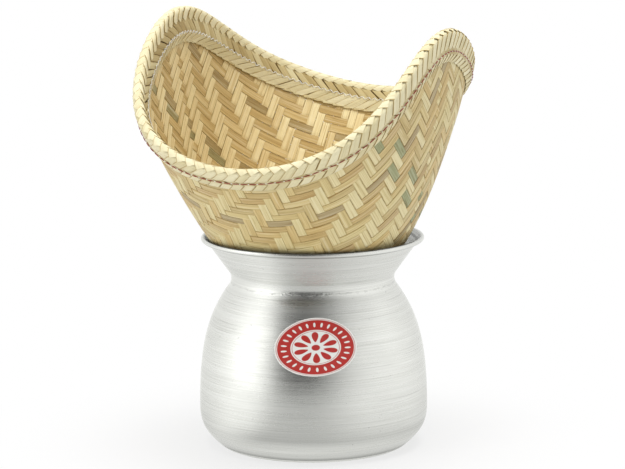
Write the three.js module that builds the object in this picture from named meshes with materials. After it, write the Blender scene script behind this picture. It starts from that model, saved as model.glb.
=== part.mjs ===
// Sticky rice steamer: a spun aluminium pot with a flared mouth, and a plaited bamboo basket in it.
// Millimetres, +Z up. The origin is the centre of the pot's base, and the front of the pot faces -Y.
// The basket starts as a flat plaited mat folded over a straight ridge, so it is a wedge at the bottom,
// round where it sits in the pot, and rises to two ears joined by two low saddles at its mouth.
import * as THREE from 'three';

// Pot: outside sizes of the spun body.
const potHeight = 211;
const potWall = 1;
const baseFlatRadius = 91.5;
const baseEdgeRadius = 93.9;
const baseEdgeRise = 0.8;
const bellyRadius = 114.6;
const bellyHeight = 38;
const neckRadius = 81.7;
const neckHeight = 168.5;
const neckRound = 6;
const mouthRadius = 111.5;
const beadRadius = 2.4;
// Handles of the curves below and above the belly, as shares of each curve's reach, and the neck's pinch.
const heelHandleShares = { outward: 0.49, rise: 0.24, upward: 0.45 };
const shoulderHandleShares = { lower: 0.54, upper: 0.77, inward: 0.33 };
const neckPinchShare = 0.32;

// Label: a thin oval sticker on the front of the shoulder.
const labelWidth = 82;
const labelHeight = 57;
const labelCentreHeight = 118;
const labelThickness = 0.25;
const labelGlueGap = 0.35;
const labelSideTurn = 1.3;
const labelTilt = 3;

// Basket: heights above the bottom ridge, and half widths of the mat's middle surface.
const matThickness = 2;
const ridgeLength = 80;
const ridgeRound = 3;
const throatHeight = 94;
const throatEarHalf = 72;
const throatSaddleHalf = 70.5;
const collarHeight = 134;
const collarEarHalf = 97.5;
const collarSaddleHalf = 92.5;
const saddleHeight = 244.6;
const mouthEarHalf = 133.5;
const mouthSaddleHalf = 173.8;
const earHeight = 350.7;
const crownEarHalf = 144;
const crownSaddleHalf = 258.2;
const shoulderHeight = 280;
const earPeakRise = 1.2;
// The bag below the throat: height, ear half width and saddle half width as shares of the throat's.
const heelShares = { height: 0.13, ear: 0.64, saddle: 0.3 };
const hipShares = { height: 0.54, ear: 0.83, saddle: 0.67 };
// How far the section swells between an ear and a saddle, at each station from the ridge up.
const swellShares = [0, 0.006, 0.012, 0.018, 0.028, 0.048, 0.031];

// Rim band: a flat braid folded over the mat's edge, with a fat roll on top and a stitched seam below it.
const rollRadius = 5.6;
const bandDepth = 20;
const bandProud = 3.6;
const seamDepth = 12;
const seamPinch = 1.3;
const waistDepth = 4.6;
const waistPinch = 0.5;
const bandFitGap = 0.6;
// The mat's edge stops this far below the roll's centre, in a slot that reaches a little higher.
const matEdgeDrop = 3;
const slotTopDrop = 1.2;
const bandFoldShares = { hem: 0.33, lowerCourse: 0.6, upperCourse: 0.45 };

// How the basket stands in the pot: turned so that an ear comes forward on the right, and leaning forward.
const basketTurn = -25.4;
const basketLeanForward = 7.4;
const basketLeanSide = -0.5;
const basketShiftX = -3.2;
const basketShiftY = 2;
const seatGap = 0.3;

// Counts of facets, and how the mat's rows are spread.
const potSides = 56;
const heelSteps = 5;
const shoulderSteps = 8;
const neckSteps = 4;
const beadSteps = 8;
const labelSides = 28;
const labelRings = 6;
const matSides = 84;
const matRows = 14;
const matBandRows = 3;
const bandReachShare = 1.4;
const ridgeCrowdingShare = 1.35;
const bandSteps = 84;
const rollSteps = 3;
const seatSamples = 40;
const nudgeShare = 1e-4;

const deg = THREE.MathUtils.degToRad;
const { lerp } = THREE.MathUtils;
const fullTurn = 2 * Math.PI;
const quarterTurn = Math.PI / 2;

const aluminium = new THREE.MeshStandardMaterial({ color: 0xb9bbbd, roughness: 0.38, metalness: 1 });
const sticker = new THREE.MeshStandardMaterial({ color: 0xc9352b, roughness: 0.45, metalness: 0 });
const bamboo = new THREE.MeshStandardMaterial({ color: 0xd2b77c, roughness: 0.62, metalness: 0 });
const palmLeaf = new THREE.MeshStandardMaterial({ color: 0xe6d7a4, roughness: 0.68, metalness: 0 });

function named(name, geometry, material) {
  const mesh = new THREE.Mesh(geometry, material);
  mesh.name = name;
  return mesh;
}

function plus(a, b, share = 1) {
  return a.map((value, i) => value + share * b[i]);
}

function minus(a, b) {
  return plus(a, b, -1);
}

function dot(a, b) {
  return a.reduce((sum, value, i) => sum + value * b[i], 0);
}

function cross(a, b) {
  return [a[1] * b[2] - a[2] * b[1], a[2] * b[0] - a[0] * b[2], a[0] * b[1] - a[1] * b[0]];
}

function unit(a) {
  return a.map((value) => value / Math.hypot(...a));
}

function bezier(handles, t) {
  if (handles.length === 1) return handles[0];
  const shorter = handles.slice(1).map((p, i) => p.map((value, k) => lerp(handles[i][k], value, t)));
  return bezier(shorter, t);
}

// Points along a curve after its first one, which the curve before it already gave.
function curveOn(handles, steps) {
  return Array.from({ length: steps }, (_, i) => bezier(handles, (i + 1) / steps));
}

// Value at x along a list of [x, y] points whose x rises.
function between(points, x) {
  const next = points.findIndex((p) => p[0] > x);
  const i = next < 0 ? points.length - 2 : Math.max(next - 1, 0);
  const [a, b] = [points[i], points[i + 1]];
  return lerp(a[1], b[1], (x - a[0]) / (b[0] - a[0]));
}

// Triangles of the walls between neighbouring rings, whose last ring may join the first one again.
function wallFaces(ringCount, sides, joinEnds = false) {
  const faces = [];
  for (let ring = 0; ring < (joinEnds ? ringCount : ringCount - 1); ring += 1) {
    const low = ring * sides;
    const high = ((ring + 1) % ringCount) * sides;
    for (let side = 0; side < sides; side += 1) {
      const next = (side + 1) % sides;
      faces.push([low + side, low + next, high + next], [low + side, high + next, high + side]);
    }
  }
  return faces;
}

// A cap whose triangles meet in one centre point.
function fanFaces(start, sides, centre) {
  return Array.from({ length: sides }, (_, side) => [start + side, start + ((side + 1) % sides), centre]);
}

// A cap across a long flat ring, from one side to the other.
function stripFaces(start, sides) {
  const faces = [];
  for (let side = 0; side < sides / 2; side += 1) {
    const near = [start + side, start + side + 1];
    const far = [start + ((sides - side) % sides), start + sides - side - 1];
    faces.push([near[0], near[1], far[1]], [near[0], far[1], far[0]]);
  }
  return faces.filter((face) => new Set(face).size === face.length);
}

function reversed(faces) {
  return faces.map((face) => face.slice().reverse());
}

function solidFrom(points, faces) {
  const geometry = new THREE.BufferGeometry();
  geometry.setAttribute('position', new THREE.Float32BufferAttribute(points.flat(), 3));
  geometry.setIndex(faces.flat());
  geometry.computeVertexNormals();
  return geometry;
}

const beadCentre = [mouthRadius - beadRadius, potHeight - beadRadius];
const neckPinch = neckRound * neckPinchShare * (beadCentre[0] - neckRadius) / (beadCentre[1] - neckHeight);
const neckLow = [neckRadius + neckPinch, neckHeight - neckRound];
const flareLow = [neckRadius + neckPinch, neckHeight + neckRound];

// Outside of the pot from the base's flat, up the belly and the shoulder, to the foot of the flare.
function bodyOutline() {
  const edge = [baseEdgeRadius, baseEdgeRise];
  const belly = [bellyRadius, bellyHeight];
  const heel = [
    edge,
    [lerp(edge[0], belly[0], heelHandleShares.outward), lerp(edge[1], belly[1], heelHandleShares.rise)],
    [belly[0], lerp(edge[1], belly[1], heelHandleShares.upward)],
    belly,
  ];
  const shoulder = [
    belly,
    [belly[0], lerp(belly[1], neckLow[1], shoulderHandleShares.lower)],
    [
      lerp(belly[0], neckLow[0], shoulderHandleShares.inward),
      lerp(belly[1], neckLow[1], shoulderHandleShares.upper),
    ],
    neckLow,
  ];
  const neck = [neckLow, [neckRadius - neckPinch, neckHeight], flareLow];
  return [
    [baseFlatRadius, 0],
    edge,
    ...curveOn(heel, heelSteps),
    ...curveOn(shoulder, shoulderSteps),
    ...curveOn(neck, neckSteps),
  ];
}

// The flare is straight, and its edge is rolled outwards into a bead that ends on the flare's inner face.
function beadOutline() {
  const reach = minus(beadCentre, flareLow);
  const inset = beadRadius - potWall;
  const angle = Math.atan2(...reach) - Math.asin(inset / Math.hypot(...reach));
  const up = [Math.sin(angle), Math.cos(angle)];
  const inward = [-Math.cos(angle), Math.sin(angle)];
  return Array.from({ length: beadSteps + 1 }, (_, i) => {
    const turn = lerp(-Math.acos(inset / beadRadius), -fullTurn, i / beadSteps);
    return plus(plus(beadCentre, inward, beadRadius * Math.cos(turn)), up, beadRadius * Math.sin(turn));
  });
}

// The inside of the wall: each outside point moved in by the wall's thickness, square to the outline.
function insideOf(outline) {
  return outline.slice(1, -1).map((p, i) => {
    const [r, z] = unit(minus(outline[i + 2], outline[i]));
    return plus(p, [-z, r], potWall);
  });
}

const outerBody = bodyOutline();
const bead = beadOutline();
const innerBody = insideOf([...outerBody, bead[0]]).reverse();

function potBody() {
  const floor = [[baseFlatRadius, potWall], [0, potWall]];
  const outline = [[0, 0], ...outerBody, ...bead, ...innerBody, ...floor];
  const lathe = new THREE.LatheGeometry(outline.map((p) => new THREE.Vector2(...p)), potSides);
  return lathe.rotateX(quarterTurn);
}

const outerRadiusByHeight = outerBody.map(([r, z]) => [z, r]);

// A point of the sticker, which goes round the pot by its arc and up along the shoulder's slope.
function labelPoint(share, angle, lift) {
  const flat = [share * labelWidth / 2 * Math.cos(angle), share * labelHeight / 2 * Math.sin(angle)];
  const tilt = deg(labelTilt);
  const across = flat[0] * Math.cos(tilt) - flat[1] * Math.sin(tilt);
  const up = flat[0] * Math.sin(tilt) + flat[1] * Math.cos(tilt);
  const low = between(outerRadiusByHeight, labelCentreHeight - labelHeight / 2);
  const high = between(outerRadiusByHeight, labelCentreHeight + labelHeight / 2);
  const slope = Math.atan2(low - high, labelHeight);
  const z = labelCentreHeight + up * Math.cos(slope) + lift * Math.sin(slope);
  const radius = between(outerRadiusByHeight, z) + lift / Math.cos(slope);
  const round = deg(labelSideTurn) + across / between(outerRadiusByHeight, labelCentreHeight);
  return [radius * Math.sin(round), -radius * Math.cos(round), z];
}

function potLabel() {
  const back = labelGlueGap;
  const front = labelGlueGap + labelThickness;
  const points = [];
  const layer = (ring, lift) => {
    for (let side = 0; side < labelSides; side += 1) {
      points.push(labelPoint(ring / labelRings, fullTurn * side / labelSides, lift));
    }
  };
  for (let ring = 1; ring <= labelRings; ring += 1) layer(ring, back);
  for (let ring = labelRings; ring >= 1; ring -= 1) layer(ring, front);
  const lastRing = points.length - labelSides;
  points.push(labelPoint(0, 0, back), labelPoint(0, 0, front));
  return solidFrom(points, [
    ...wallFaces(2 * labelRings, labelSides),
    ...reversed(fanFaces(0, labelSides, points.length - 2)),
    ...fanFaces(lastRing, labelSides, points.length - 1),
  ]);
}

// Stations of the basket from the ridge up.
const stationHeights = [
  0,
  heelShares.height * throatHeight,
  hipShares.height * throatHeight,
  throatHeight,
  collarHeight,
  saddleHeight,
  earHeight,
];
const earHalves = [
  ridgeLength / 2,
  heelShares.ear * throatEarHalf,
  hipShares.ear * throatEarHalf,
  throatEarHalf,
  collarEarHalf,
  mouthEarHalf,
  crownEarHalf,
];
const saddleHalves = [
  ridgeRound,
  heelShares.saddle * throatSaddleHalf,
  hipShares.saddle * throatSaddleHalf,
  throatSaddleHalf,
  collarSaddleHalf,
  mouthSaddleHalf,
  crownSaddleHalf,
];

// A smooth function of height through the values at the stations.
function throughStations(values) {
  const spans = values.slice(1).map((_, i) => stationHeights[i + 1] - stationHeights[i]);
  const rises = spans.map((span, i) => (values[i + 1] - values[i]) / span);
  const inner = rises.slice(1).map((rise, i) => (
    (rises[i] * spans[i + 1] + rise * spans[i]) / (spans[i] + spans[i + 1])
  ));
  const slopes = [2 * rises[0] - inner[0], ...inner, (3 * rises.at(-1) - inner.at(-1)) / 2];
  return (height) => {
    const next = stationHeights.findIndex((station) => station > height);
    const i = next < 0 ? spans.length - 1 : Math.max(next - 1, 0);
    const s = Math.min(1, (height - stationHeights[i]) / spans[i]);
    const past = Math.max(0, height - stationHeights[i + 1]);
    const back = 1 - s;
    const ends = values[i] * (1 + 2 * s) * back ** 2 + values[i + 1] * s ** 2 * (3 - 2 * s);
    const bends = (slopes[i] * back - slopes[i + 1] * s) * spans[i] * s * back;
    return ends + bends + past * slopes[i + 1];
  };
}

const earHalfAt = throughStations(earHalves);
const saddleHalfAt = throughStations(saddleHalves);
const swellAt = throughStations(swellShares);

// Middle surface of the mat: angle 0 faces one ear, a quarter turn faces a saddle.
function matPoint(height, angle) {
  const ear = earHalfAt(height);
  const saddle = saddleHalfAt(height);
  const swell = 1 + swellAt(height) * Math.sin(2 * angle) ** 2;
  const spread = Math.sqrt(ear / saddle) ** Math.min(1, height / collarHeight);
  const turn = Math.atan2(spread * Math.sin(angle), Math.cos(angle));
  return [ear * Math.cos(turn) * swell, saddle * Math.sin(turn) * swell, height];
}

// How the mat's surface runs at a point: per unit of height, per unit of angle, and square to both.
function matFrame(height, angle) {
  const rise = nudgeShare * collarHeight;
  const low = Math.max(0, height - rise);
  const perHeight = minus(matPoint(low + 2 * rise, angle), matPoint(low, angle)).map((v) => v / (2 * rise));
  const ahead = matPoint(height, angle + nudgeShare);
  const behind = matPoint(height, angle - nudgeShare);
  const perAngle = minus(ahead, behind).map((v) => v / (2 * nudgeShare));
  return { perHeight, perAngle, out: unit(cross(perAngle, perHeight)) };
}

// Height of the rim above the ridge, through the ears, the shoulders between, and the saddles.
function rimHeight(angle) {
  const mean = (earHeight + saddleHeight + 2 * shoulderHeight) / 4;
  const wave = (earHeight - saddleHeight) / 2 - earPeakRise;
  const even = (earHeight + saddleHeight - 2 * shoulderHeight) / 4;
  return mean + wave * Math.cos(2 * angle) + even * Math.cos(4 * angle) + earPeakRise * Math.cos(6 * angle);
}

// Rows are closer together near the ridge, where the wall bends most, and behind the rim band.
function rowHeight(row, angle) {
  const edge = rimHeight(angle) - matEdgeDrop;
  const underBand = edge - bandDepth * bandReachShare;
  const openRows = matRows - matBandRows;
  if (row <= openRows) return underBand * (row / openRows) ** ridgeCrowdingShare;
  return lerp(underBand, edge, (row - openRows) / matBandRows);
}

// One ring of the mat's inner or outer face. At the ridge the two faces are level strips.
function matRing(row, offset) {
  return Array.from({ length: matSides }, (_, side) => {
    const angle = fullTurn * side / matSides;
    const height = rowHeight(row, angle);
    const [x, y, z] = plus(matPoint(height, angle), matFrame(height, angle).out, offset);
    return [x, y, row === 0 ? -offset : z];
  });
}

function basketMat() {
  const rings = [];
  for (let row = 0; row <= matRows; row += 1) rings.push(matRing(row, matThickness / 2));
  for (let row = matRows; row >= 0; row -= 1) rings.push(matRing(row, -matThickness / 2));
  return solidFrom(rings.flat(), [
    ...wallFaces(rings.length, matSides),
    ...reversed(stripFaces(0, matSides)),
    ...stripFaces((rings.length - 1) * matSides, matSides),
  ]);
}

// Section of the rim band: across the mat, outwards positive, and up from the roll's centre.
function bandSection() {
  const slot = matThickness / 2 + bandFitGap;
  const proud = slot + bandProud;
  const leg = [
    [slot, -slotTopDrop],
    [slot, -bandDepth],
    [lerp(proud, slot, bandFoldShares.hem), -bandDepth - waistPinch],
    [proud, -bandDepth + seamPinch],
    [proud, lerp(-bandDepth, -seamDepth, bandFoldShares.lowerCourse)],
    [proud - seamPinch, -seamDepth],
    [proud, lerp(-seamDepth, -waistDepth, bandFoldShares.upperCourse)],
    [proud - waistPinch, -waistDepth],
  ];
  const roll = Array.from({ length: rollSteps }, (_, i) => {
    const turn = lerp(-Math.asin(waistPinch * 2 / rollRadius), quarterTurn, i / rollSteps);
    return [rollRadius * Math.cos(turn), rollRadius * Math.sin(turn)];
  });
  const outside = [...leg, ...roll];
  const inside = outside.map(([across, up]) => [-across, up]).reverse();
  return [...outside, [0, rollRadius], ...inside].reverse();
}

// A point of the band. Its legs follow the mat's surface down the wall, square to the rim.
function bandPoint(angle, across, rise) {
  const height = rimHeight(angle);
  const centre = matPoint(height, angle);
  const { perHeight, perAngle, out } = matFrame(height, angle);
  const ahead = angle + nudgeShare;
  const up = unit(cross(out, minus(matPoint(rimHeight(ahead), ahead), centre)));
  if (rise >= 0) return plus(plus(centre, out, across), up, rise);
  const span = dot(perHeight, perHeight) * dot(perAngle, perAngle) - dot(perHeight, perAngle) ** 2;
  const climb = dot(perHeight, up) * dot(perAngle, perAngle) - dot(perAngle, up) * dot(perHeight, perAngle);
  const swing = dot(perAngle, up) * dot(perHeight, perHeight) - dot(perHeight, up) * dot(perHeight, perAngle);
  const lower = height + rise * climb / span;
  const turned = angle + rise * swing / span;
  return plus(matPoint(lower, turned), matFrame(lower, turned).out, across);
}

function rimPlait() {
  const section = bandSection();
  const rings = Array.from({ length: bandSteps }, (_, step) => (
    section.map(([across, rise]) => bandPoint(fullTurn * step / bandSteps, across, rise))
  ));
  return solidFrom(rings.flat(), wallFaces(bandSteps, section.length, true));
}

// How far the basket must move up so that its mat keeps the seat gap to the pot's inside.
// The mat's edges are sampled between their corners, because the neck's crease can meet them anywhere.
function seatLift(mat) {
  const inside = [...innerBody].reverse().filter(([, z]) => z >= neckHeight);
  const flare = [...inside, bead.at(-1)].filter(([r], i, all) => i === 0 || r > all[i - 1][0]);
  const facetShare = Math.cos(Math.PI / potSides);
  const lip = potHeight + seatGap;
  const point = new THREE.Vector3();
  const rows = Array.from({ length: matRows + 1 }, (_, row) => (
    matRing(row, matThickness / 2).map((p) => new THREE.Vector3(...p).applyMatrix4(mat.matrixWorld))
  ));
  let lift = -potHeight;
  for (let row = 0; row < matRows; row += 1) {
    for (let i = 0; i < matSides * seatSamples; i += 1) {
      const side = Math.floor(i / seatSamples);
      point.lerpVectors(rows[row][side], rows[row + 1][side], (i % seatSamples) / seatSamples);
      const reach = Math.hypot(point.x, point.y) / facetShare + seatGap;
      if (reach < flare[0][0] || reach > mouthRadius + 2 * seatGap) continue;
      const floor = reach < flare.at(-1)[0] ? between(flare, reach) : lip;
      lift = Math.max(lift, floor - point.z);
    }
  }
  return lift;
}

// The basket turns and leans about the middle of its collar, which starts level with the pot's mouth.
function basket() {
  const fromRidge = new THREE.Group();
  const mat = named('basket_mat', basketMat(), bamboo);
  fromRidge.add(mat, named('rim_plait', rimPlait(), palmLeaf));
  fromRidge.position.z = -collarHeight;
  const turned = new THREE.Group();
  turned.add(fromRidge);
  turned.rotation.z = deg(basketTurn);
  const seated = new THREE.Group();
  seated.add(turned);
  seated.rotation.set(deg(basketLeanForward), deg(basketLeanSide), 0, 'YXZ');
  seated.position.set(basketShiftX, basketShiftY, potHeight);
  seated.updateMatrixWorld(true);
  seated.position.z += seatLift(mat);
  return seated;
}

const steamer = new THREE.Group();
steamer.add(named('pot_body', potBody(), aluminium), named('pot_label', potLabel(), sticker), basket());

export default steamer;
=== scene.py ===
import math
import random
from collections import namedtuple

import bmesh
import bpy
import numpy as np
from bpy.props import FloatProperty, FloatVectorProperty, IntProperty, PointerProperty
from mathutils import Matrix, Vector


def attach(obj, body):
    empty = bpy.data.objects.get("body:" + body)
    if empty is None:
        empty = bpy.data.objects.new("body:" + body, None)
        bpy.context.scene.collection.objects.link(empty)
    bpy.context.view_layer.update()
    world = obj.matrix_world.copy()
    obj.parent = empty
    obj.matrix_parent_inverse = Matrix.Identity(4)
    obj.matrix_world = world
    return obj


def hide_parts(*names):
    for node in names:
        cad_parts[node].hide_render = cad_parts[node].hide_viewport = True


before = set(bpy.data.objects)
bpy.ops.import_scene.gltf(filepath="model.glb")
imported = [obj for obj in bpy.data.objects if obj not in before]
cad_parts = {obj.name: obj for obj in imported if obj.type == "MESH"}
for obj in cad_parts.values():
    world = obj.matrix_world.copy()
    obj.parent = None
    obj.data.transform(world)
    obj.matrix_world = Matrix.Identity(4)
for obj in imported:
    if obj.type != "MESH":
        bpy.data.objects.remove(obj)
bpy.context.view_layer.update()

bl_info = {
    "name": "Sticky rice steamer",
    "version": (1, 0, 0),
    "blender": (4, 5, 0),
    "location": "View3D > Sidebar > Steamer",
    "description": "Builds a spun aluminium pot and the plaited bamboo basket that stands in it",
    "category": "Add Mesh",
}

MM = 0.001
QUARTER = math.pi / 2
FULL_TURN = 2 * math.pi
NUDGE = 1e-4
# Edges that turn by more than this stay sharp.
SHARP_ANGLE = math.radians(40)
POT_SHARP_ANGLE = math.radians(50)

# The pot's outline, as in the CAD model.
POT_HEIGHT = 211 * MM
BASE_FLAT_RADIUS = 91.5 * MM
BASE_EDGE = np.array([93.9, 0.8]) * MM
BELLY = np.array([114.6, 38]) * MM
NECK = np.array([81.7, 168.5]) * MM
NECK_ROUND = 6 * MM
NECK_PINCH_SHARE = 0.32
MOUTH_RADIUS = 111.5 * MM
BEAD_RADIUS = 2.4 * MM
POT_WALL = 1 * MM
# The two curves' handles, as shares of the way across and up from a curve's start to its end.
HEEL_HANDLES = np.array([(0.49, 0.24), (1, 0.45)])
SHOULDER_HANDLES = np.array([(0, 0.54), (0.33, 0.77)])
HEEL_STEPS, SHOULDER_STEPS, NECK_STEPS, BEAD_STEPS = 14, 26, 12, 20
# The ring of crinkled metal just under the neck.
RING_HEIGHT = NECK[1] - 3.4 * MM
RING_WIDTH = 1.3 * MM

# The sticker's place on the pot, and the steps of its mesh.
LABEL_CENTRE_HEIGHT = 118 * MM
LABEL_SIDE_TURN = math.radians(1.3)
LABEL_TILT = math.radians(3)
LABEL_SEGMENTS = 72
LABEL_CUTS = 7
# The sticker's print, in shares of its half width: where rings of ink start and stop, and for grains of rice
# in a ring their count, the ring's radius, and half a grain's length and width.
INK_FIELD = (0.60, 0.925)
INK_LINES = ((0.945, 0.957), (0.556, 0.568))
BARE_GRAINS = (26, 0.765, 0.075, 0.030)
ROSETTE_GRAINS = (10, 0.36, 0.17, 0.075)
ROSETTE_HEART = 0.10

# The basket's stations from its ridge up: heights, half widths towards an ear and a saddle, and swell.
STATIONS = np.array([0, 0.13 * 94, 0.54 * 94, 94, 134, 244.6, 350.7]) * MM
EAR_HALVES = np.array([40, 0.64 * 72, 0.83 * 72, 72, 97.5, 133.5, 144]) * MM
SADDLE_HALVES = np.array([3, 0.3 * 70.5, 0.67 * 70.5, 70.5, 92.5, 173.8, 258.2]) * MM
SWELLS = np.array([0, 0.006, 0.012, 0.018, 0.028, 0.048, 0.031])
COLLAR_HEIGHT = 134 * MM
SADDLE_HEIGHT, SHOULDER_HEIGHT, EAR_HEIGHT, EAR_PEAK_RISE = 244.6 * MM, 280 * MM, 350.7 * MM, 1.2 * MM

# How the basket stands in the pot.
BASKET_TURN = math.radians(-25.4)
BASKET_LEAN_FORWARD = math.radians(7.4)
BASKET_LEAN_SIDE = math.radians(-0.5)
BASKET_PLACE = Vector((-3.2, 2.0, 208.48)) * MM

# How far down the braid's lines lie: at the saddles, and at the ears outside and inside.
SADDLE_DROPS = np.array([0, 2.3, 7, 12.5, 22.2, 40]) * MM
EAR_DROPS_OUTSIDE = np.array([0, 5.2, 15.8, 19.6, 26.4, 44]) * MM
EAR_DROPS_INSIDE = np.array([0, 8, 13.5, 20.5, 27.6, 45]) * MM

# The weave: a flat mat folded on its ridge. Counts are in splints from the middle of the mat. More level
# splints are tried on each side than the rim leaves.
RIDGE_SPLINTS = 4
LEVEL_SPLINTS = 42
TURN_SPLINT = 14
TWILL = 3
MAT_ROUNDING = 60 * MM
# The stops in each cell of a splint as shares of the cell, and their heights as shares of the weave's lift.
CELL_STOPS = (0.14, 0.5, 0.86)
CELL_LIFTS = (1, 1.12, 1)
CELLS_EACH_WAY = 50
SPLINT_COLUMNS = 3
# How splints differ: their width, and their sway as a share of the pitch, in radians per metre and with a
# start of its own.
SPLINT_WIDTHS = {"ridge": (1.0, 1.03), "back": (0.96, 1.0), "front": (0.96, 1.0)}
SWAY_SHARE, SWAY_RATES, SWAY_STARTS = 0.02, (14, 30), (0, 6)
# A splint is flat up to this share of its half width and falls away from there to its edge.
CROWN_FROM = 0.4
# How far the fibres are moved along a strip, so that no two strips are alike.
FIBRE_SHIFTS = (0, 50)
SPLINT_SEED, BRAID_SEED, THREAD_SEED = 7, 11, 5

# Chances of a face's tone: weight, lowest and highest tone. 0 is cream, then straw, tan and brown, and near 1
# it is sage green.
PALE_FACE = ((0.68, 0.0, 0.26), (0.28, 0.26, 0.46), (0.04, 0.94, 1.0))
TAN_FACE = ((0.22, 0.18, 0.36), (0.46, 0.42, 0.6), (0.28, 0.62, 0.86), (0.04, 0.9, 0.97))
CREAM_FACE = ((0.84, 0.0, 0.2), (0.13, 0.2, 0.36), (0.03, 0.8, 0.9))
BROWN_FACE = ((0.16, 0.36, 0.48), (0.58, 0.5, 0.64), (0.20, 0.66, 0.84), (0.06, 0.88, 0.96))
# The outer and the inner face of each kind of splint.
SPLINT_FACES = {
    "ridge": (PALE_FACE, CREAM_FACE),
    "back": (PALE_FACE, BROWN_FACE),
    "front": (TAN_FACE, CREAM_FACE),
}


def shown(red, green, blue):
    """A colour picked as 0 to 255 on a screen, as linear light."""
    def linear(value):
        value /= 255
        return value / 12.92 if value <= 0.04045 else ((value + 0.055) / 1.055) ** 2.4
    return tuple(linear(value) for value in (red, green, blue))


OUTER_TONES = (
    (0.0, shown(230, 217, 168)),
    (0.2, shown(219, 203, 147)),
    (0.34, shown(213, 187, 126)),
    (0.46, shown(204, 186, 132)),
    (0.58, shown(199, 170, 110)),
    (0.70, shown(184, 165, 126)),
    (0.82, shown(166, 148, 96)),
    (0.92, shown(170, 167, 122)),
    (1.0, shown(157, 160, 117)),
)
INNER_TONES = (
    (0.0, shown(242, 226, 176)),
    (0.28, shown(228, 206, 152)),
    (0.5, shown(211, 184, 124)),
    (0.68, shown(191, 163, 106)),
    (0.82, shown(172, 147, 96)),
    (0.92, shown(166, 154, 106)),
    (1.0, shown(158, 156, 114)),
)
PALM_TONES = (
    (0.0, shown(238, 230, 194)),
    (0.35, shown(223, 212, 168)),
    (0.7, shown(203, 186, 136)),
    (1.0, shown(180, 158, 104)),
)


# Sizes and colours that a user may change


def colour(name, description, default):
    return FloatVectorProperty(name=name, description=description, default=default, size=3, min=0, max=1,
                               subtype="COLOR")


def length(name, description, default):
    return FloatProperty(name=name, description=description, default=default, subtype="DISTANCE",
                         unit="LENGTH", precision=5)


def share(name, description, default):
    return FloatProperty(name=name, description=description, default=default, min=0, max=1, subtype="FACTOR")


def tilt(name, description, degrees):
    return FloatProperty(name=name, description=description, default=math.radians(degrees), subtype="ANGLE",
                         unit="ROTATION")


def power(name, description, default):
    return FloatProperty(name=name, description=description, default=default, min=0, subtype="POWER",
                         unit="POWER")


class StageSizes(bpy.types.PropertyGroup):
    """Camera, floor and lights"""
    camera_distance: length("Camera distance", "From the camera to the pot's mouth", 2.6)
    camera_height: tilt("Camera elevation", "How far the camera looks down", 9.6)
    camera_roll: tilt("Camera roll", "How far the picture is turned", 0.4)
    lens: FloatProperty(name="Lens", description="Focal length in millimetres", default=149.8, min=20)
    sky: FloatProperty(name="Sky light", description="Strength of the even light all round", default=0.62,
                       min=0)
    side_light: power("Side lights", "Power of the large side lights", 9.6)
    top_light: power("Top light", "Power of the light overhead", 30)
    floor_radius: length("Floor radius", "Size of the pale floor", 6.0)
    floor_colour: colour("Floor colour", "Colour of the plain floor", (0.86, 0.86, 0.86))


class PotSizes(bpy.types.PropertyGroup):
    """Spun aluminium pot"""
    sides: IntProperty(name="Sides", description="Steps of the spin round the pot", default=144, min=24)
    metal: colour("Metal", "Colour of the bare aluminium", shown(236, 237, 232))
    groove: colour("Groove", "Colour in the fine spinning grooves", shown(214, 215, 209))
    groove_depth: length("Groove depth", "Depth of the spinning grooves", 0.00006)
    roughness: share("Roughness", "How dull the metal is", 0.27)


class LabelSizes(bpy.types.PropertyGroup):
    """Oval sticker on the pot's shoulder"""
    width: length("Width", "Width of the sticker", 0.082)
    height: length("Height", "Height of the sticker", 0.057)
    thickness: length("Thickness", "Thickness of the sticker", 0.00025)
    lift: length("Lift", "From the metal to the back of the sticker", 0.00012)
    field: colour("Field", "Colour of the printed field", shown(184, 26, 16))
    paper: colour("Paper", "Colour of the bare sticker", shown(238, 238, 234))


class BasketSizes(bpy.types.PropertyGroup):
    """Plaited bamboo mat"""
    pitch: length("Splint pitch", "From one splint to the next in the flat mat", 0.0088)
    width_share: share("Splint width", "Width of a splint as a share of the pitch", 0.96)
    thickness: length("Splint thickness", "Thickness of a splint", 0.00045)
    lift: length("Weave lift", "How far a splint stands off the mat's middle where it passes over", 0.00046)
    crown: length("Crown", "How far a splint's edges fall away", 0.0001)
    end_drop: length("End drop", "From the rim's curve to the cut ends under the band", 0.002)


class RimSizes(bpy.types.PropertyGroup):
    """Folded braid round the basket's mouth"""
    strands: IntProperty(name="Strands", description="Strands round the rim in each row", default=104, min=24)
    thickness: length("Strand thickness", "Thickness of a strand", 0.0005)
    # The braid's gap colour is dark as painted shade in its gaps.
    gap: colour("Gap", "Colour in the gaps of the braid", shown(74, 54, 20))
    stitch_radius: length("Stitch radius", "Half the thickness of the thread", 0.00052)
    red: colour("Red thread", "Colour of the outer thread", shown(158, 52, 44))
    white: colour("White thread", "Colour of the inner thread", shown(250, 250, 248))


# Objects from meshes


def add_object(name, bm, materials):
    """Puts a bmesh into the scene as an object with its materials."""
    mesh = bpy.data.meshes.new(name)
    bm.to_mesh(mesh)
    bm.free()
    for material in materials:
        mesh.materials.append(material)
    piece = bpy.data.objects.new(name, mesh)
    bpy.context.scene.collection.objects.link(piece)
    return piece


def shade_smooth(mesh, sharp_angle):
    mesh.polygons.foreach_set("use_smooth", [True] * len(mesh.polygons))
    mesh.set_sharp_from_angle(angle=sharp_angle)


def finish_object(name, bm, materials, body="basket", sharp_angle=SHARP_ANGLE):
    """Makes a piece of the steamer from a bmesh and puts it on its body."""
    piece = add_object(name, bm, materials)
    shade_smooth(piece.data, sharp_angle)
    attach(piece, body)
    return piece


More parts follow.
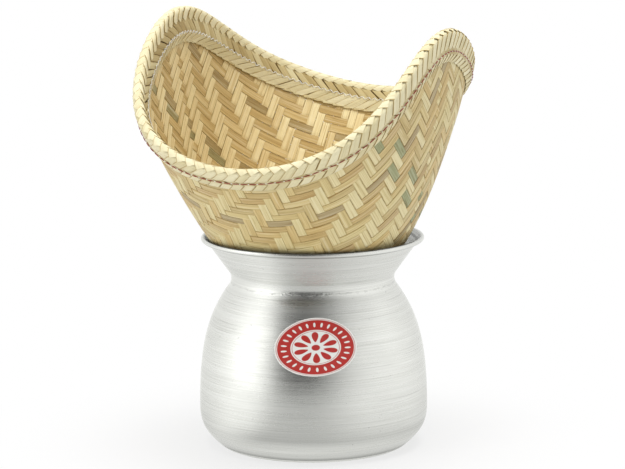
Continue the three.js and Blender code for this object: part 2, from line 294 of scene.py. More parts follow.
def thicken(piece, thickness, inner_material=0):
    """Gives sheets of strips their thickness and keeps the result as the mesh."""
    wall = piece.modifiers.new("Thickness", "SOLIDIFY")
    wall.thickness = thickness
    wall.offset = 0
    wall.material_offset = inner_material
    bpy.context.view_layer.update()
    solid = bpy.data.meshes.new_from_object(piece.evaluated_get(bpy.context.evaluated_depsgraph_get()))
    piece.modifiers.remove(wall)
    sheet, piece.data = piece.data, solid
    bpy.data.meshes.remove(sheet)
    solid.name = piece.name
    shade_smooth(solid, SHARP_ANGLE)


# The basket's surface


def mix(a, b, t):
    return a + (b - a) * t


def unit(vectors):
    return vectors / np.linalg.norm(vectors, axis=-1, keepdims=True)


def dot(a, b):
    return (a * b).sum(-1, keepdims=True)


def through_stations(values):
    """A smooth function of height through the values at the stations, as the CAD model has it."""
    spans = np.diff(STATIONS)
    rises = np.diff(values) / spans
    inner = (rises[:-1] * spans[1:] + rises[1:] * spans[:-1]) / (spans[:-1] + spans[1:])
    slopes = np.concatenate([[2 * rises[0] - inner[0]], inner, [(3 * rises[-1] - inner[-1]) / 2]])

    def value(height):
        i = np.clip(np.searchsorted(STATIONS, height, side="right") - 1, 0, len(spans) - 1)
        s = np.minimum(1, (height - STATIONS[i]) / spans[i])
        back = 1 - s
        ends = values[i] * (1 + 2 * s) * back ** 2 + values[i + 1] * s ** 2 * (3 - 2 * s)
        bends = (slopes[i] * back - slopes[i + 1] * s) * spans[i] * s * back
        return ends + bends + np.maximum(0, height - STATIONS[i + 1]) * slopes[i + 1]

    return value


ear_half_at = through_stations(EAR_HALVES)
saddle_half_at = through_stations(SADDLE_HALVES)
swell_at = through_stations(SWELLS)


def mat_point(height, angle):
    """The mat's middle surface: angle 0 faces one ear and a quarter turn faces a saddle."""
    height, angle = np.broadcast_arrays(np.asarray(height, float), np.asarray(angle, float))
    ear, saddle = ear_half_at(height), saddle_half_at(height)
    swell = 1 + swell_at(height) * np.sin(2 * angle) ** 2
    spread = np.sqrt(ear / saddle) ** np.minimum(1, height / COLLAR_HEIGHT)
    turn = np.arctan2(spread * np.sin(angle), np.cos(angle))
    return np.stack([ear * np.cos(turn) * swell, saddle * np.sin(turn) * swell, height], -1)


def mat_frame(height, angle):
    """How the surface runs per unit of height and of angle, and the way out, square to both."""
    step = NUDGE * COLLAR_HEIGHT
    low = np.maximum(0, height - step)
    per_height = (mat_point(low + 2 * step, angle) - mat_point(low, angle)) / (2 * step)
    per_angle = (mat_point(height, angle + NUDGE) - mat_point(height, angle - NUDGE)) / (2 * NUDGE)
    return per_height, per_angle, unit(np.cross(per_angle, per_height))


def rim_height(angle):
    mean = (EAR_HEIGHT + SADDLE_HEIGHT + 2 * SHOULDER_HEIGHT) / 4
    wave = (EAR_HEIGHT - SADDLE_HEIGHT) / 2 - EAR_PEAK_RISE
    even = (EAR_HEIGHT + SADDLE_HEIGHT - 2 * SHOULDER_HEIGHT) / 4
    return mean + wave * np.cos(2 * angle) + even * np.cos(4 * angle) + EAR_PEAK_RISE * np.cos(6 * angle)


def band_point(angle, across, rise):
    """A point of the rim band: across the mat, outwards positive, and up or down from the roll's centre."""
    angle, across, rise = np.broadcast_arrays(*(np.asarray(v, float) for v in (angle, across, rise)))
    height = rim_height(angle)
    per_height, per_angle, out = mat_frame(height, angle)
    centre = mat_point(height, angle)
    ahead = mat_point(rim_height(angle + NUDGE), angle + NUDGE) - centre
    up = unit(np.cross(out, ahead))
    steep, wide, skew = dot(per_height, per_height), dot(per_angle, per_angle), dot(per_height, per_angle)
    span = steep * wide - skew ** 2
    climb = dot(per_height, up) * wide - dot(per_angle, up) * skew
    swing = dot(per_angle, up) * steep - dot(per_height, up) * skew
    drop = np.maximum(-rise, 0)
    ear = np.cos(angle) ** 2
    outside = mix(drop, np.interp(drop, SADDLE_DROPS, EAR_DROPS_OUTSIDE), ear)
    inside = mix(drop, np.interp(drop, SADDLE_DROPS, EAR_DROPS_INSIDE), ear ** 2)
    drop = -np.where(across > 0, outside, inside)
    lower = height + drop * (climb / span)[..., 0]
    turned = angle + drop * (swing / span)[..., 0]
    out = mat_frame(lower, turned)[2]
    return mat_point(lower, turned) + out * across[..., None] + up * np.maximum(rise, 0)[..., None]


def seated(points):
    """Points of the basket's own frame, from the ridge up, moved to where the basket stands."""
    place = (
        Matrix.Translation(BASKET_PLACE)
        @ Matrix.Rotation(BASKET_LEAN_SIDE, 4, "Y")
        @ Matrix.Rotation(BASKET_LEAN_FORWARD, 4, "X")
        @ Matrix.Rotation(BASKET_TURN, 4, "Z")
        @ Matrix.Translation((0, 0, -COLLAR_HEIGHT))
    )
    turn = np.array(place)
    return points @ turn[:3, :3].T + turn[:3, 3]


class MatMap:
    """Carries places on the flat folded mat onto the basket's surface, by length along the wall."""

    ANGLE_STEPS = 180
    LENGTH_STEP = 1 * MM
    # The table reaches this many times as high as the ears. A place past its end is read a hair before it.
    REACH = 1.2
    HAIR = 0.001

    def __init__(self, pitch):
        self.half = RIDGE_SPLINTS * pitch
        heights = np.arange(0, EAR_HEIGHT * self.REACH, self.LENGTH_STEP)
        angles = np.linspace(0, FULL_TURN, self.ANGLE_STEPS + 1)
        wall = mat_point(heights[None, :], angles[:, None])
        lengths = np.cumsum(np.linalg.norm(np.diff(wall, axis=1), axis=-1), axis=1)
        lengths = np.concatenate([np.zeros((len(angles), 1)), lengths], axis=1) + self.half
        self.lengths = np.arange(self.half, lengths.min(axis=0)[-1], self.LENGTH_STEP)
        self.table = np.array([np.interp(self.lengths, row, heights) for row in lengths])

    def height_at(self, angle, run):
        place = np.mod(angle, FULL_TURN) / FULL_TURN * self.ANGLE_STEPS
        low = np.minimum(place.astype(int), self.ANGLE_STEPS - 1)
        step = np.clip((run - self.half) / self.LENGTH_STEP, 0, len(self.lengths) - 1 - self.HAIR)
        base = step.astype(int)
        u, v = place - low, step - base
        t = self.table
        return mix(mix(t[low, base], t[low, base + 1], v), mix(t[low + 1, base], t[low + 1, base + 1], v), u)

    def place(self, front, x, y):
        """Height and angle of a place x to the side of the mat's middle and y up from its ridge."""
        ray = y + self.half
        slant = np.clip(x / ray, -1, 1)
        rounding = np.clip(y / MAT_ROUNDING, 0, 1)
        rounding = rounding ** 2 * (3 - 2 * rounding)
        sine = (1 - rounding) * slant + rounding * 2 * slant / (1 + slant ** 2)
        turn = np.arcsin(np.clip(sine, -1, 1))
        angle = np.where(front, turn - QUARTER, QUARTER - turn)
        run = ray * (1 - rounding + rounding * np.sqrt(1 + slant ** 2))
        return self.height_at(angle, run), angle


# The weave


def upright_outside_front(column, row):
    """Whether the upright splint passes outside at a crossing of the front face."""
    if column >= -TURN_SPLINT:
        return (row - column) % (2 * TWILL) < TWILL
    return (row + column + 2 * TURN_SPLINT) % (2 * TWILL) < TWILL


def upright_outside_back(column, row):
    """The same for the back face."""
    if column <= TURN_SPLINT - 1:
        return (column + row + 1) % (2 * TWILL) < TWILL
    return (row - column - 1 + 2 * TURN_SPLINT) % (2 * TWILL) < TWILL


class Splint:
    """One splint's path over the flat mat. Cells are counted along it, one for each crossing."""

    def __init__(self, kind, index, pitch):
        self.kind, self.index, self.pitch = kind, index, pitch
        self.half = RIDGE_SPLINTS * pitch

    def flat(self, along, across):
        """Face and place on the flat mat of a point along the splint and across it."""
        centre = (self.index + 0.5) * self.pitch + across
        if self.kind == "ridge":
            return along >= 0, centre, np.abs(along)
        level = np.abs(along) <= self.half + centre
        face_of_level = self.kind == "front"
        x = np.where(level, along, np.sign(along) * (self.half + centre))
        y = np.where(level, centre, np.abs(along) - self.half)
        return np.where(level, face_of_level, not face_of_level), x, y

    def outside(self, cell):
        """Whether the splint passes outside the one that it crosses in this cell."""
        if self.kind == "ridge":
            if cell >= 0:
                return upright_outside_front(self.index, cell)
            return upright_outside_back(self.index, -cell - 1)
        corner = RIDGE_SPLINTS + self.index
        column = corner if cell > 0 else -corner - 1
        row = cell - RIDGE_SPLINTS if cell > 0 else -cell - 1 - RIDGE_SPLINTS
        turned = cell > corner or cell < -corner - 1
        at_corner = cell in (corner, -corner - 1)
        if self.kind == "back":
            if turned or at_corner:
                return upright_outside_front(column, self.index if at_corner else row)
            return not upright_outside_back(cell, self.index)
        if at_corner:
            return not upright_outside_front(column, self.index)
        if turned:
            return upright_outside_back(column, row)
        return not upright_outside_front(cell, self.index)


STRIP_LAYERS = ("across", "along", "outer_tone", "inner_tone")


def strip_bmesh():
    """An empty bmesh with what the strips' material needs to know."""
    bm = bmesh.new()
    for name in STRIP_LAYERS:
        bm.verts.layers.float.new(name)
    return bm


def add_strip(bm, points, across, along, tones):
    """A strip of quads from a grid whose rows follow the points."""
    rows, columns = points.shape[:2]
    grid = bmesh.ops.create_grid(bm, x_segments=columns - 1, y_segments=rows - 1, size=1)["verts"]
    layers = [bm.verts.layers.float[name] for name in STRIP_LAYERS]
    for vert in grid:
        column = round((vert.co.x + 1) / 2 * (columns - 1))
        row = round((vert.co.y + 1) / 2 * (rows - 1))
        vert.co = points[row, column]
        for layer, value in zip(layers, (across[column], along[row], *tones)):
            vert[layer] = value


def picked_tone(choices, dice):
    """A tone picked by the chances of a face's choices."""
    total, mark = 0, dice.random()
    for weight, low, high in choices:
        total += weight
        if mark <= total:
            return dice.uniform(low, high)
    return dice.uniform(*choices[-1][1:])


def add_splint(bm, sizes, mat, splint, dice):
    """Lays one splint over the basket, over and under the ones it crosses, and cuts it at the rim."""
    cells = np.arange(-CELLS_EACH_WAY, CELLS_EACH_WAY)
    along = ((cells[:, None] + np.array(CELL_STOPS)) * sizes.pitch).ravel()
    sides = np.array([1 if splint.outside(int(cell)) else -1 for cell in cells])
    lift = (sizes.lift * np.array(CELL_LIFTS) * sides[:, None]).ravel()
    half_width = sizes.pitch * sizes.width_share / 2 * dice.uniform(*SPLINT_WIDTHS[splint.kind])
    sway = np.sin(along * dice.uniform(*SWAY_RATES) + dice.uniform(*SWAY_STARTS)) * SWAY_SHARE * sizes.pitch
    shares = np.linspace(-1, 1, SPLINT_COLUMNS + 1)
    tones = [picked_tone(choices, dice) for choices in SPLINT_FACES[splint.kind]]
    shift = dice.uniform(*FIBRE_SHIFTS)

    height, angle = mat.place(*splint.flat(along, 0 * along))
    kept = height < rim_height(angle) - sizes.end_drop
    heights, angles = mat.place(*splint.flat(along[:, None], sway[:, None] + shares * half_width))
    out = mat_frame(heights, angles)[2]
    outward = seated(out) - seated(0 * out)
    rise = lift[:, None] - np.maximum(0, np.abs(shares) - CROWN_FROM) / (1 - CROWN_FROM) * sizes.crown
    points = seated(mat_point(heights, angles)) + outward * rise[..., None]

    ends = np.flatnonzero(np.diff(np.concatenate([[0], kept.astype(int), [0]])))
    for start, stop in zip(ends[::2], ends[1::2]):
        if stop - start < 2:
            continue
        strip, ways = points[start:stop], outward[start:stop]
        half = len(strip) // 2
        facing = np.cross(strip[half, -1] - strip[half, 0], strip[half] - strip[half - 1])
        order = slice(None) if (facing * ways[half]).sum() > 0 else slice(None, None, -1)
        add_strip(bm, strip[:, order], shares, along[start:stop] + shift, tones)


# The pot's outline


def bezier(handles, steps):
    """Points along a curve after its first one."""
    points = []
    for t in np.linspace(0, 1, steps + 1)[1:]:
        level = [np.asarray(h, float) for h in handles]
        while len(level) > 1:
            level = [mix(a, b, t) for a, b in zip(level, level[1:])]
        points.append(level[0])
    return points


def pot_outline():
    """Outer body, bead and inner wall of the pot, as radius and height, and the outer body alone."""
    bead = np.array([MOUTH_RADIUS - BEAD_RADIUS, POT_HEIGHT - BEAD_RADIUS])
    pinch = NECK_ROUND * NECK_PINCH_SHARE * (bead[0] - NECK[0]) / (bead[1] - NECK[1])
    neck_low = NECK + [pinch, -NECK_ROUND]
    flare_low = NECK + [pinch, NECK_ROUND]
    heel = [BASE_EDGE, *mix(BASE_EDGE, BELLY, HEEL_HANDLES), BELLY]
    shoulder = [BELLY, *mix(BELLY, neck_low, SHOULDER_HANDLES), neck_low]
    neck = [neck_low, NECK - [pinch, 0], flare_low]
    outer = [np.array([BASE_FLAT_RADIUS, 0]), BASE_EDGE, *bezier(heel, HEEL_STEPS),
             *bezier(shoulder, SHOULDER_STEPS), *bezier(neck, NECK_STEPS)]
    reach = bead - flare_low
    inset = BEAD_RADIUS - POT_WALL
    lean = math.atan2(*reach) - math.asin(inset / np.hypot(*reach))
    up = np.array([math.sin(lean), math.cos(lean)])
    inward = np.array([-math.cos(lean), math.sin(lean)])
    rolled = [bead + BEAD_RADIUS * (inward * math.cos(turn) + up * math.sin(turn))
              for turn in np.linspace(-math.acos(inset / BEAD_RADIUS), -FULL_TURN, BEAD_STEPS + 1)]
    inner = []
    line = outer + rolled[:1]
    for before, point, after in zip(line, line[1:], line[2:]):
        r, z = unit(after - before)
        inner.append(point + POT_WALL * np.array([-z, r]))
    floor = [np.array([BASE_FLAT_RADIUS, POT_WALL]), np.array([0, POT_WALL])]
    return [np.zeros(2), *outer, *rolled, *inner[::-1], *floor], outer


# Nodes of the materials


def set_inputs(tree, node, inputs):
    """Puts values or links on a node's inputs, by name or number."""
    for key, value in inputs.items():
        if isinstance(value, bpy.types.NodeSocket):
            tree.links.new(value, node.inputs[key])
        else:
            node.inputs[key].default_value = value


def add_node(tree, kind, inputs=None, **settings):
    """A node with its settings and its inputs."""
    node = tree.nodes.new(kind)
    for key, value in settings.items():
        setattr(node, key, value)
    set_inputs(tree, node, inputs or {})
    return node


def maths(tree, operation, *values, clamp=False):
    return add_node(tree, "ShaderNodeMath", dict(enumerate(values)), operation=operation,
                    use_clamp=clamp).outputs[0]


def offset(tree, value, by, middle=0.5, clamp=False):
    """How far a value is from its middle, times a factor."""
    return maths(tree, "MULTIPLY", maths(tree, "SUBTRACT", value, middle), by, clamp=clamp)


def apart(tree, first, second):
    """How far two values are from each other."""
    return maths(tree, "ABSOLUTE", maths(tree, "SUBTRACT", first, second))


def squares(tree, first, second):
    """The sum of two values' squares."""
    return maths(tree, "ADD", *(maths(tree, "MULTIPLY", value, value) for value in (first, second)))


def mixed(tree, factor, first, second, blend="MIX"):
    """A colour mixed from two."""
    first, second = (c if isinstance(c, bpy.types.NodeSocket) else (*c, 1) for c in (first, second))
    return add_node(tree, "ShaderNodeMix", {0: factor, 6: first, 7: second}, data_type="RGBA",
                    blend_type=blend).outputs[2]


def times(tree, first, second):
    """A colour darkened by another."""
    return mixed(tree, 1.0, first, second, "MULTIPLY")


def ramp(tree, factor, stops, interpolation="LINEAR"):
    """A colour ramp: stops are (position, colour or grey)."""
    node = add_node(tree, "ShaderNodeValToRGB", {0: factor})
    node.color_ramp.interpolation = interpolation
    elements = node.color_ramp.elements
    while len(elements) < len(stops):
        elements.new(0.5)
    for element, (position, value) in zip(elements, stops):
        element.position = position
        element.color = (value, value, value, 1) if isinstance(value, (int, float)) else (*value, 1)
    return node.outputs[0]


def attribute(tree, name):
    return add_node(tree, "ShaderNodeAttribute", attribute_name=name).outputs["Fac"]


def object_place(tree):
    return add_node(tree, "ShaderNodeTexCoord").outputs["Object"]


def noise(tree, vector, scale, detail, roughness=0.55):
    inputs = {"Vector": vector, "Scale": scale, "Detail": detail, "Roughness": roughness}
    return add_node(tree, "ShaderNodeTexNoise", inputs).outputs["Fac"]


def bump(tree, height, strength, distance, **under):
    """A surface's normal, pushed in and out by a height, over another normal if there is one."""
    inputs = {"Height": height, "Strength": strength, "Distance": distance, **under}
    return add_node(tree, "ShaderNodeBump", inputs).outputs[0]


def any_ray(tree, *kinds):
    """1 for a ray of one of these kinds, and else 0."""
    rays = add_node(tree, "ShaderNodeLightPath")
    seen, *others = (rays.outputs[kind] for kind in kinds)
    for other in others:
        seen = maths(tree, "ADD", seen, other, clamp=True)
    return seen


def glowing(tree, strength):
    """A shader that glows plain white."""
    return add_node(tree, "ShaderNodeEmission", {"Color": (1, 1, 1, 1), "Strength": strength}).outputs[0]


def new_material(name):
    """A material with one Principled shader, and its tree and shader."""
    material = bpy.data.materials.new(name)
    material.use_nodes = True
    return material, material.node_tree, material.node_tree.nodes["Principled BSDF"]


def lay_out(tree):
    """Spreads the nodes in columns, so that the tree can be read."""
    for i, node in enumerate(tree.nodes):
        node.location = (-240 * (i // 4), 220 * (i % 4))


def new_group(name, inputs, outputs):
    """A node group with named sockets: each is (name, socket type, default)."""
    tree = bpy.data.node_groups.new(name, "ShaderNodeTree")
    for label, kind, default in inputs:
        tree.interface.new_socket(label, in_out="INPUT", socket_type=kind).default_value = default
    for label, kind in outputs:
        tree.interface.new_socket(label, in_out="OUTPUT", socket_type=kind)
    return tree, tree.nodes.new("NodeGroupInput"), tree.nodes.new("NodeGroupOutput")


# Materials


FIBRE_INPUTS = (
    ("Colour", "NodeSocketColor", (0.6, 0.5, 0.3, 1)),
    ("Across", "NodeSocketFloat", 0.0),
    ("Along", "NodeSocketFloat", 0.0),
    ("Tone", "NodeSocketFloat", 0.0),
    ("Strength", "NodeSocketFloat", 1.0),
    # Edge: how dark the painted shade along a strip's edges is.
    ("Edge", "NodeSocketFloat", 0.2),
)
FIBRE_OUTPUTS = (("Colour", "NodeSocketColor"), ("Height", "NodeSocketFloat"))


def fibre_group():
    """Lengthwise fibres of split bamboo and leaf: colour and height that follow each strip, and painted shade
    that darkens its edges.
    """
    if "strip_fibres" in bpy.data.node_groups:
        return bpy.data.node_groups["strip_fibres"]
    tree, given, made = new_group("strip_fibres", FIBRE_INPUTS, FIBRE_OUTPUTS)
    base, across, along, tone, strength, edge = (given.outputs[label] for label, *_ in FIBRE_INPUTS)
    own = maths(tree, "MULTIPLY", tone, 91.0)

    def streaks(fine, long, detail):
        """Noise drawn out along the strip, at another place for each tone."""
        place = add_node(tree, "ShaderNodeCombineXYZ", {0: maths(tree, "MULTIPLY", across, fine),
                                                        1: maths(tree, "MULTIPLY", along, long), 2: own})
        return noise(tree, place.outputs[0], 1.0, detail)

    fine = streaks(3.4, 26.0, 4.0)
    broad = streaks(1.7, 9.0, 2.0)
    lines = ramp(tree, apart(tree, streaks(2.0, 5.0, 1.0), 0.5), ((0.0, 1.0), (0.022, 0.0)))
    # Painted shade along each strip's edges, where it meets and tucks under its neighbours.
    painted_edge_shade = ramp(tree, maths(tree, "ABSOLUTE", across), ((0.84, 0.0), (1.0, 1.0)))
    shade = maths(tree, "ADD", offset(tree, fine, 0.50), offset(tree, broad, 0.75))
    shade = maths(tree, "MULTIPLY", shade, strength)
    dark = maths(tree, "ADD", maths(tree, "MULTIPLY", painted_edge_shade, edge),
                 maths(tree, "MULTIPLY", lines, maths(tree, "MULTIPLY", strength, 0.26)))
    light = maths(tree, "ADD", maths(tree, "SUBTRACT", shade, dark), 1.0)
    deep = times(tree, base, (0.61, 0.49, 0.30))
    # Darker where the fibres are dark, and at the edges as painted shade.
    grained_and_edge_shaded = mixed(tree, offset(tree, light, -1.6, 1.0, clamp=True), base, deep)
    bright = mixed(tree, offset(tree, light, 1.2, 1.0, clamp=True), grained_and_edge_shaded, (0.86, 0.79, 0.58))
    height = maths(tree, "SUBTRACT", fine, maths(tree, "MULTIPLY", lines, 0.6))
    set_inputs(tree, made, {"Colour": bright, "Height": height})
    lay_out(tree)
    return tree


# How far the basket's colour is darkened where the bare metal mirrors it, and towards what colour: painted
# shade on the basket as the pot reflects it.
MIRRORED_DIMMING = 0.92
MIRRORED_TINT = (0.05, 0.05, 0.045)
STRIP_RELIEF = 0.08 * MM


def strip_material(name, tone_name, tones, strength, roughness, edge):
    """Split bamboo or leaf, whose tone is set strip by strip."""
    material, tree, shader = new_material(name)
    tone = attribute(tree, tone_name)
    fibres = add_node(tree, "ShaderNodeGroup", {
        "Colour": ramp(tree, tone, tones),
        "Across": attribute(tree, "across"),
        "Along": attribute(tree, "along"),
        "Tone": tone,
        "Strength": strength,
        # Strength of the painted shade along the strip's edges.
        "Edge": edge,
    }, node_tree=fibre_group())
    # Painted shade: seen in the metal, the basket's colour is darkened.
    dimming = maths(tree, "MULTIPLY", any_ray(tree, "Is Glossy Ray"), MIRRORED_DIMMING)
    height = fibres.outputs["Height"]
    set_inputs(tree, shader, {
        "Base Color": mixed(tree, dimming, fibres.outputs["Colour"], MIRRORED_TINT),
        "Roughness": maths(tree, "ADD", maths(tree, "MULTIPLY", height, -0.2), roughness + 0.1),
        "Normal": bump(tree, height, 0.6, STRIP_RELIEF),
        "Specular IOR Level": 0.35,
    })
    lay_out(tree)
    return material


def aluminium_material(sizes):
    """Spun aluminium: fine grooves round the pot, broader bands, and small marks."""
    material, tree, shader = new_material("spun_aluminium")
    place = object_place(tree)

    def bands(round_the_pot, upward, detail):
        scale = (round_the_pot, round_the_pot, upward)
        stretch = add_node(tree, "ShaderNodeMapping", {"Vector": place, "Scale": scale})
        return noise(tree, stretch.outputs[0], 1.0, detail, 0.62)

    fine = bands(9.0, 1500.0, 4.0)
    broad = bands(5.0, 260.0, 3.0)
    cloud = noise(tree, place, 22.0, 3.0)
    hairs = ramp(tree, bands(9.0, 900.0, 2.0), ((0.30, 0.84), (0.36, 1.0), (0.66, 1.0), (0.72, 1.05)))
    high = add_node(tree, "ShaderNodeSeparateXYZ", {0: place}).outputs[2]

    # Painted shade under the bead, where the metal rolls over.
    painted_crease_shade = maths(tree, "MULTIPLY", apart(tree, high, POT_HEIGHT - 2.15 * BEAD_RADIUS), 1 / BEAD_RADIUS)
    painted_crease_shade = ramp(tree, painted_crease_shade, ((0.0, 0.42), (0.32, 0.62), (0.6, 1.0)))

    # The crinkled ring under the neck, which wavers and comes and goes: a bump, and painted shade that
    # darkens the metal there.
    waver = offset(tree, noise(tree, place, 60.0, 3.0), 0.009)
    ring = apart(tree, maths(tree, "ADD", high, waver), RING_HEIGHT)
    ring = ramp(tree, maths(tree, "MULTIPLY", ring, 1 / RING_WIDTH), ((0.0, 1.0), (1.0, 0.0)), "EASE")
    faint = ramp(tree, noise(tree, place, 140.0, 2.0), ((0.40, 0.15), (0.60, 1.0)))
    ring = maths(tree, "MULTIPLY", ring, faint)

    streak = maths(tree, "ADD", maths(tree, "MULTIPLY", fine, 0.7), maths(tree, "MULTIPLY", broad, 0.3))
    tint = ramp(tree, streak, ((0.34, sizes.groove), (0.66, sizes.metal)))
    tint = times(tree, times(tree, tint, hairs), painted_crease_shade)
    # Painted shade in the crinkled ring.
    tint = mixed(tree, maths(tree, "MULTIPLY", ring, 0.18), tint, (0.2, 0.2, 0.19))
    marks = ramp(tree, noise(tree, place, 260.0, 1.0), ((0.76, 1.0), (0.80, 0.72)))
    dull = maths(tree, "ADD", offset(tree, cloud, 0.12), offset(tree, broad, 0.16))
    relief = bump(tree, fine, 1.0, sizes.groove_depth)
    relief = bump(tree, broad, 0.5, sizes.groove_depth, Normal=relief)
    set_inputs(tree, shader, {
        "Base Color": times(tree, tint, marks),
        "Roughness": maths(tree, "ADD", dull, sizes.roughness),
        "Metallic": 1.0,
        "Anisotropic": 0.85,
        "Tangent": add_node(tree, "ShaderNodeTangent", direction_type="RADIAL", axis="Z").outputs[0],
        "Normal": bump(tree, ring, 0.8, 0.4 * MM, Normal=relief),
    })
    lay_out(tree)
    return material


def label_material(sizes):
    """A printed sticker: a white edge, a red ring with grains of rice, and a rosette in a white oval."""
    material, tree, shader = new_material("printed_sticker")
    face = add_node(tree, "ShaderNodeUVMap", uv_map="face").outputs[0]
    x, y, _ = add_node(tree, "ShaderNodeSeparateXYZ", {0: face}).outputs
    radius = maths(tree, "SQRT", squares(tree, x, y))
    angle = maths(tree, "ARCTAN2", y, x)

    def below(value, limit, soft=0.012):
        return maths(tree, "DIVIDE", maths(tree, "SUBTRACT", limit + soft / 2, value), soft, clamp=True)

    def ring(low, high):
        return maths(tree, "SUBTRACT", below(radius, high), below(radius, low))

    def grains(count, centre, reach, width):
        turn = maths(tree, "MULTIPLY", angle, count / FULL_TURN)
        side = offset(tree, maths(tree, "FRACT", turn), FULL_TURN * centre / count)
        out = maths(tree, "DIVIDE", maths(tree, "SUBTRACT", radius, centre), reach)
        return below(squares(tree, out, maths(tree, "DIVIDE", side, width)), 1.0, 0.12)

    red = maths(tree, "SUBTRACT", ring(*INK_FIELD), grains(*BARE_GRAINS), clamp=True)
    for part in (*(ring(*line) for line in INK_LINES), grains(*ROSETTE_GRAINS), below(radius, ROSETTE_HEART)):
        red = maths(tree, "MAXIMUM", red, part)
    print_wear = noise(tree, object_place(tree), 90.0, 2.0)
    ink = mixed(tree, maths(tree, "MULTIPLY", print_wear, 0.06), sizes.field, sizes.paper)
    set_inputs(tree, shader, {
        "Base Color": mixed(tree, red, sizes.paper, ink),
        "Roughness": maths(tree, "ADD", maths(tree, "MULTIPLY", print_wear, 0.12), 0.42),
        "Specular IOR Level": 0.25,
    })
    lay_out(tree)
    return material


def fibrous_material(name, tint, shade, fineness, detail, strength, relief, roughness):
    """Straw or thread, with a fine noise in its colour and its relief."""
    material, tree, shader = new_material(name)
    fibre = noise(tree, object_place(tree), fineness, detail)
    set_inputs(tree, shader, {
        "Base Color": mixed(tree, fibre, [c * shade for c in tint], tint),
        "Normal": bump(tree, fibre, strength, relief),
        "Roughness": roughness,
    })
    lay_out(tree)
    return material


def core_material(sizes):
    """The straw that shows in the gaps of the braid; its dark colour is painted shade."""
    return fibrous_material("braid_core", sizes.gap, 0.6, 400.0, 3.0, 0.7, 0.3 * MM, 0.8)


def thread_material(name, tint):
    """Twisted sewing thread."""
    return fibrous_material(name, tint, 0.7, 900.0, 2.0, 0.6, 0.2 * MM, 0.6)


# The stage


SENSOR_WIDTH = 36
# The side light on the right, as a share of the one on the left.
RIGHT_SHARE = 0.2
FLOOR_SIDES = 96
# The floor shows plain white from afar. Between these distances that goes down to this share near the pot.
SHADE_FROM, SHADE_TO, SHADE_LEVEL = 0.10, 0.36, 0.66
# What the bare metal mirrors round the studio: degrees to the right of the camera, and brightness.
WALL_GLOWS = (
    (-180, 1.0), (-118, 0.95), (-96, 1.15), (-82, 1.6), (-70, 1.95), (-56, 1.8), (-46, 1.1), (-38, 0.28),
    (-30, 0.05), (0, 0.04), (8, 0.14), (16, 0.40), (26, 0.66), (44, 1.0), (90, 1.2), (130, 0.95), (180, 1.0),
)
WALL_REACH = 2.3
WALL_ROWS = 19
WALL_COLUMNS = 120
# The card on the floor lies this much above it.
CARD_LIFT = 2 * MM
# The floor's part: distance from the pot's axis, brightness, and how much of the wall's pattern it shows.
# Next to the pot the card is dimmer: a painted shadow of the pot on the floor, for the metal to mirror.
FLOOR_GLOWS = (
    (0.096, 0.35, 0.0), (0.099, 0.72, 0.0), (0.107, 0.84, 0.0), (0.12, 0.80, 0.08), (0.136, 0.64, 0.18),
    (0.15, 0.74, 0.22), (0.20, 0.80, 0.28), (0.28, 0.88, 0.33), (0.40, 0.96, 0.4), (0.70, 1.0, 0.5),
    (1.2, 1.0, 0.65), (2.29, 1.0, 0.82),
)
# The wall's part: degrees up from the floor, brightness, and how much wider its pattern is there.
RISE_GLOWS = ((0, 1.0, 1.0), (28, 1.0, 1.0), (50, 0.78, 1.25), (88, 0.5, 1.5))


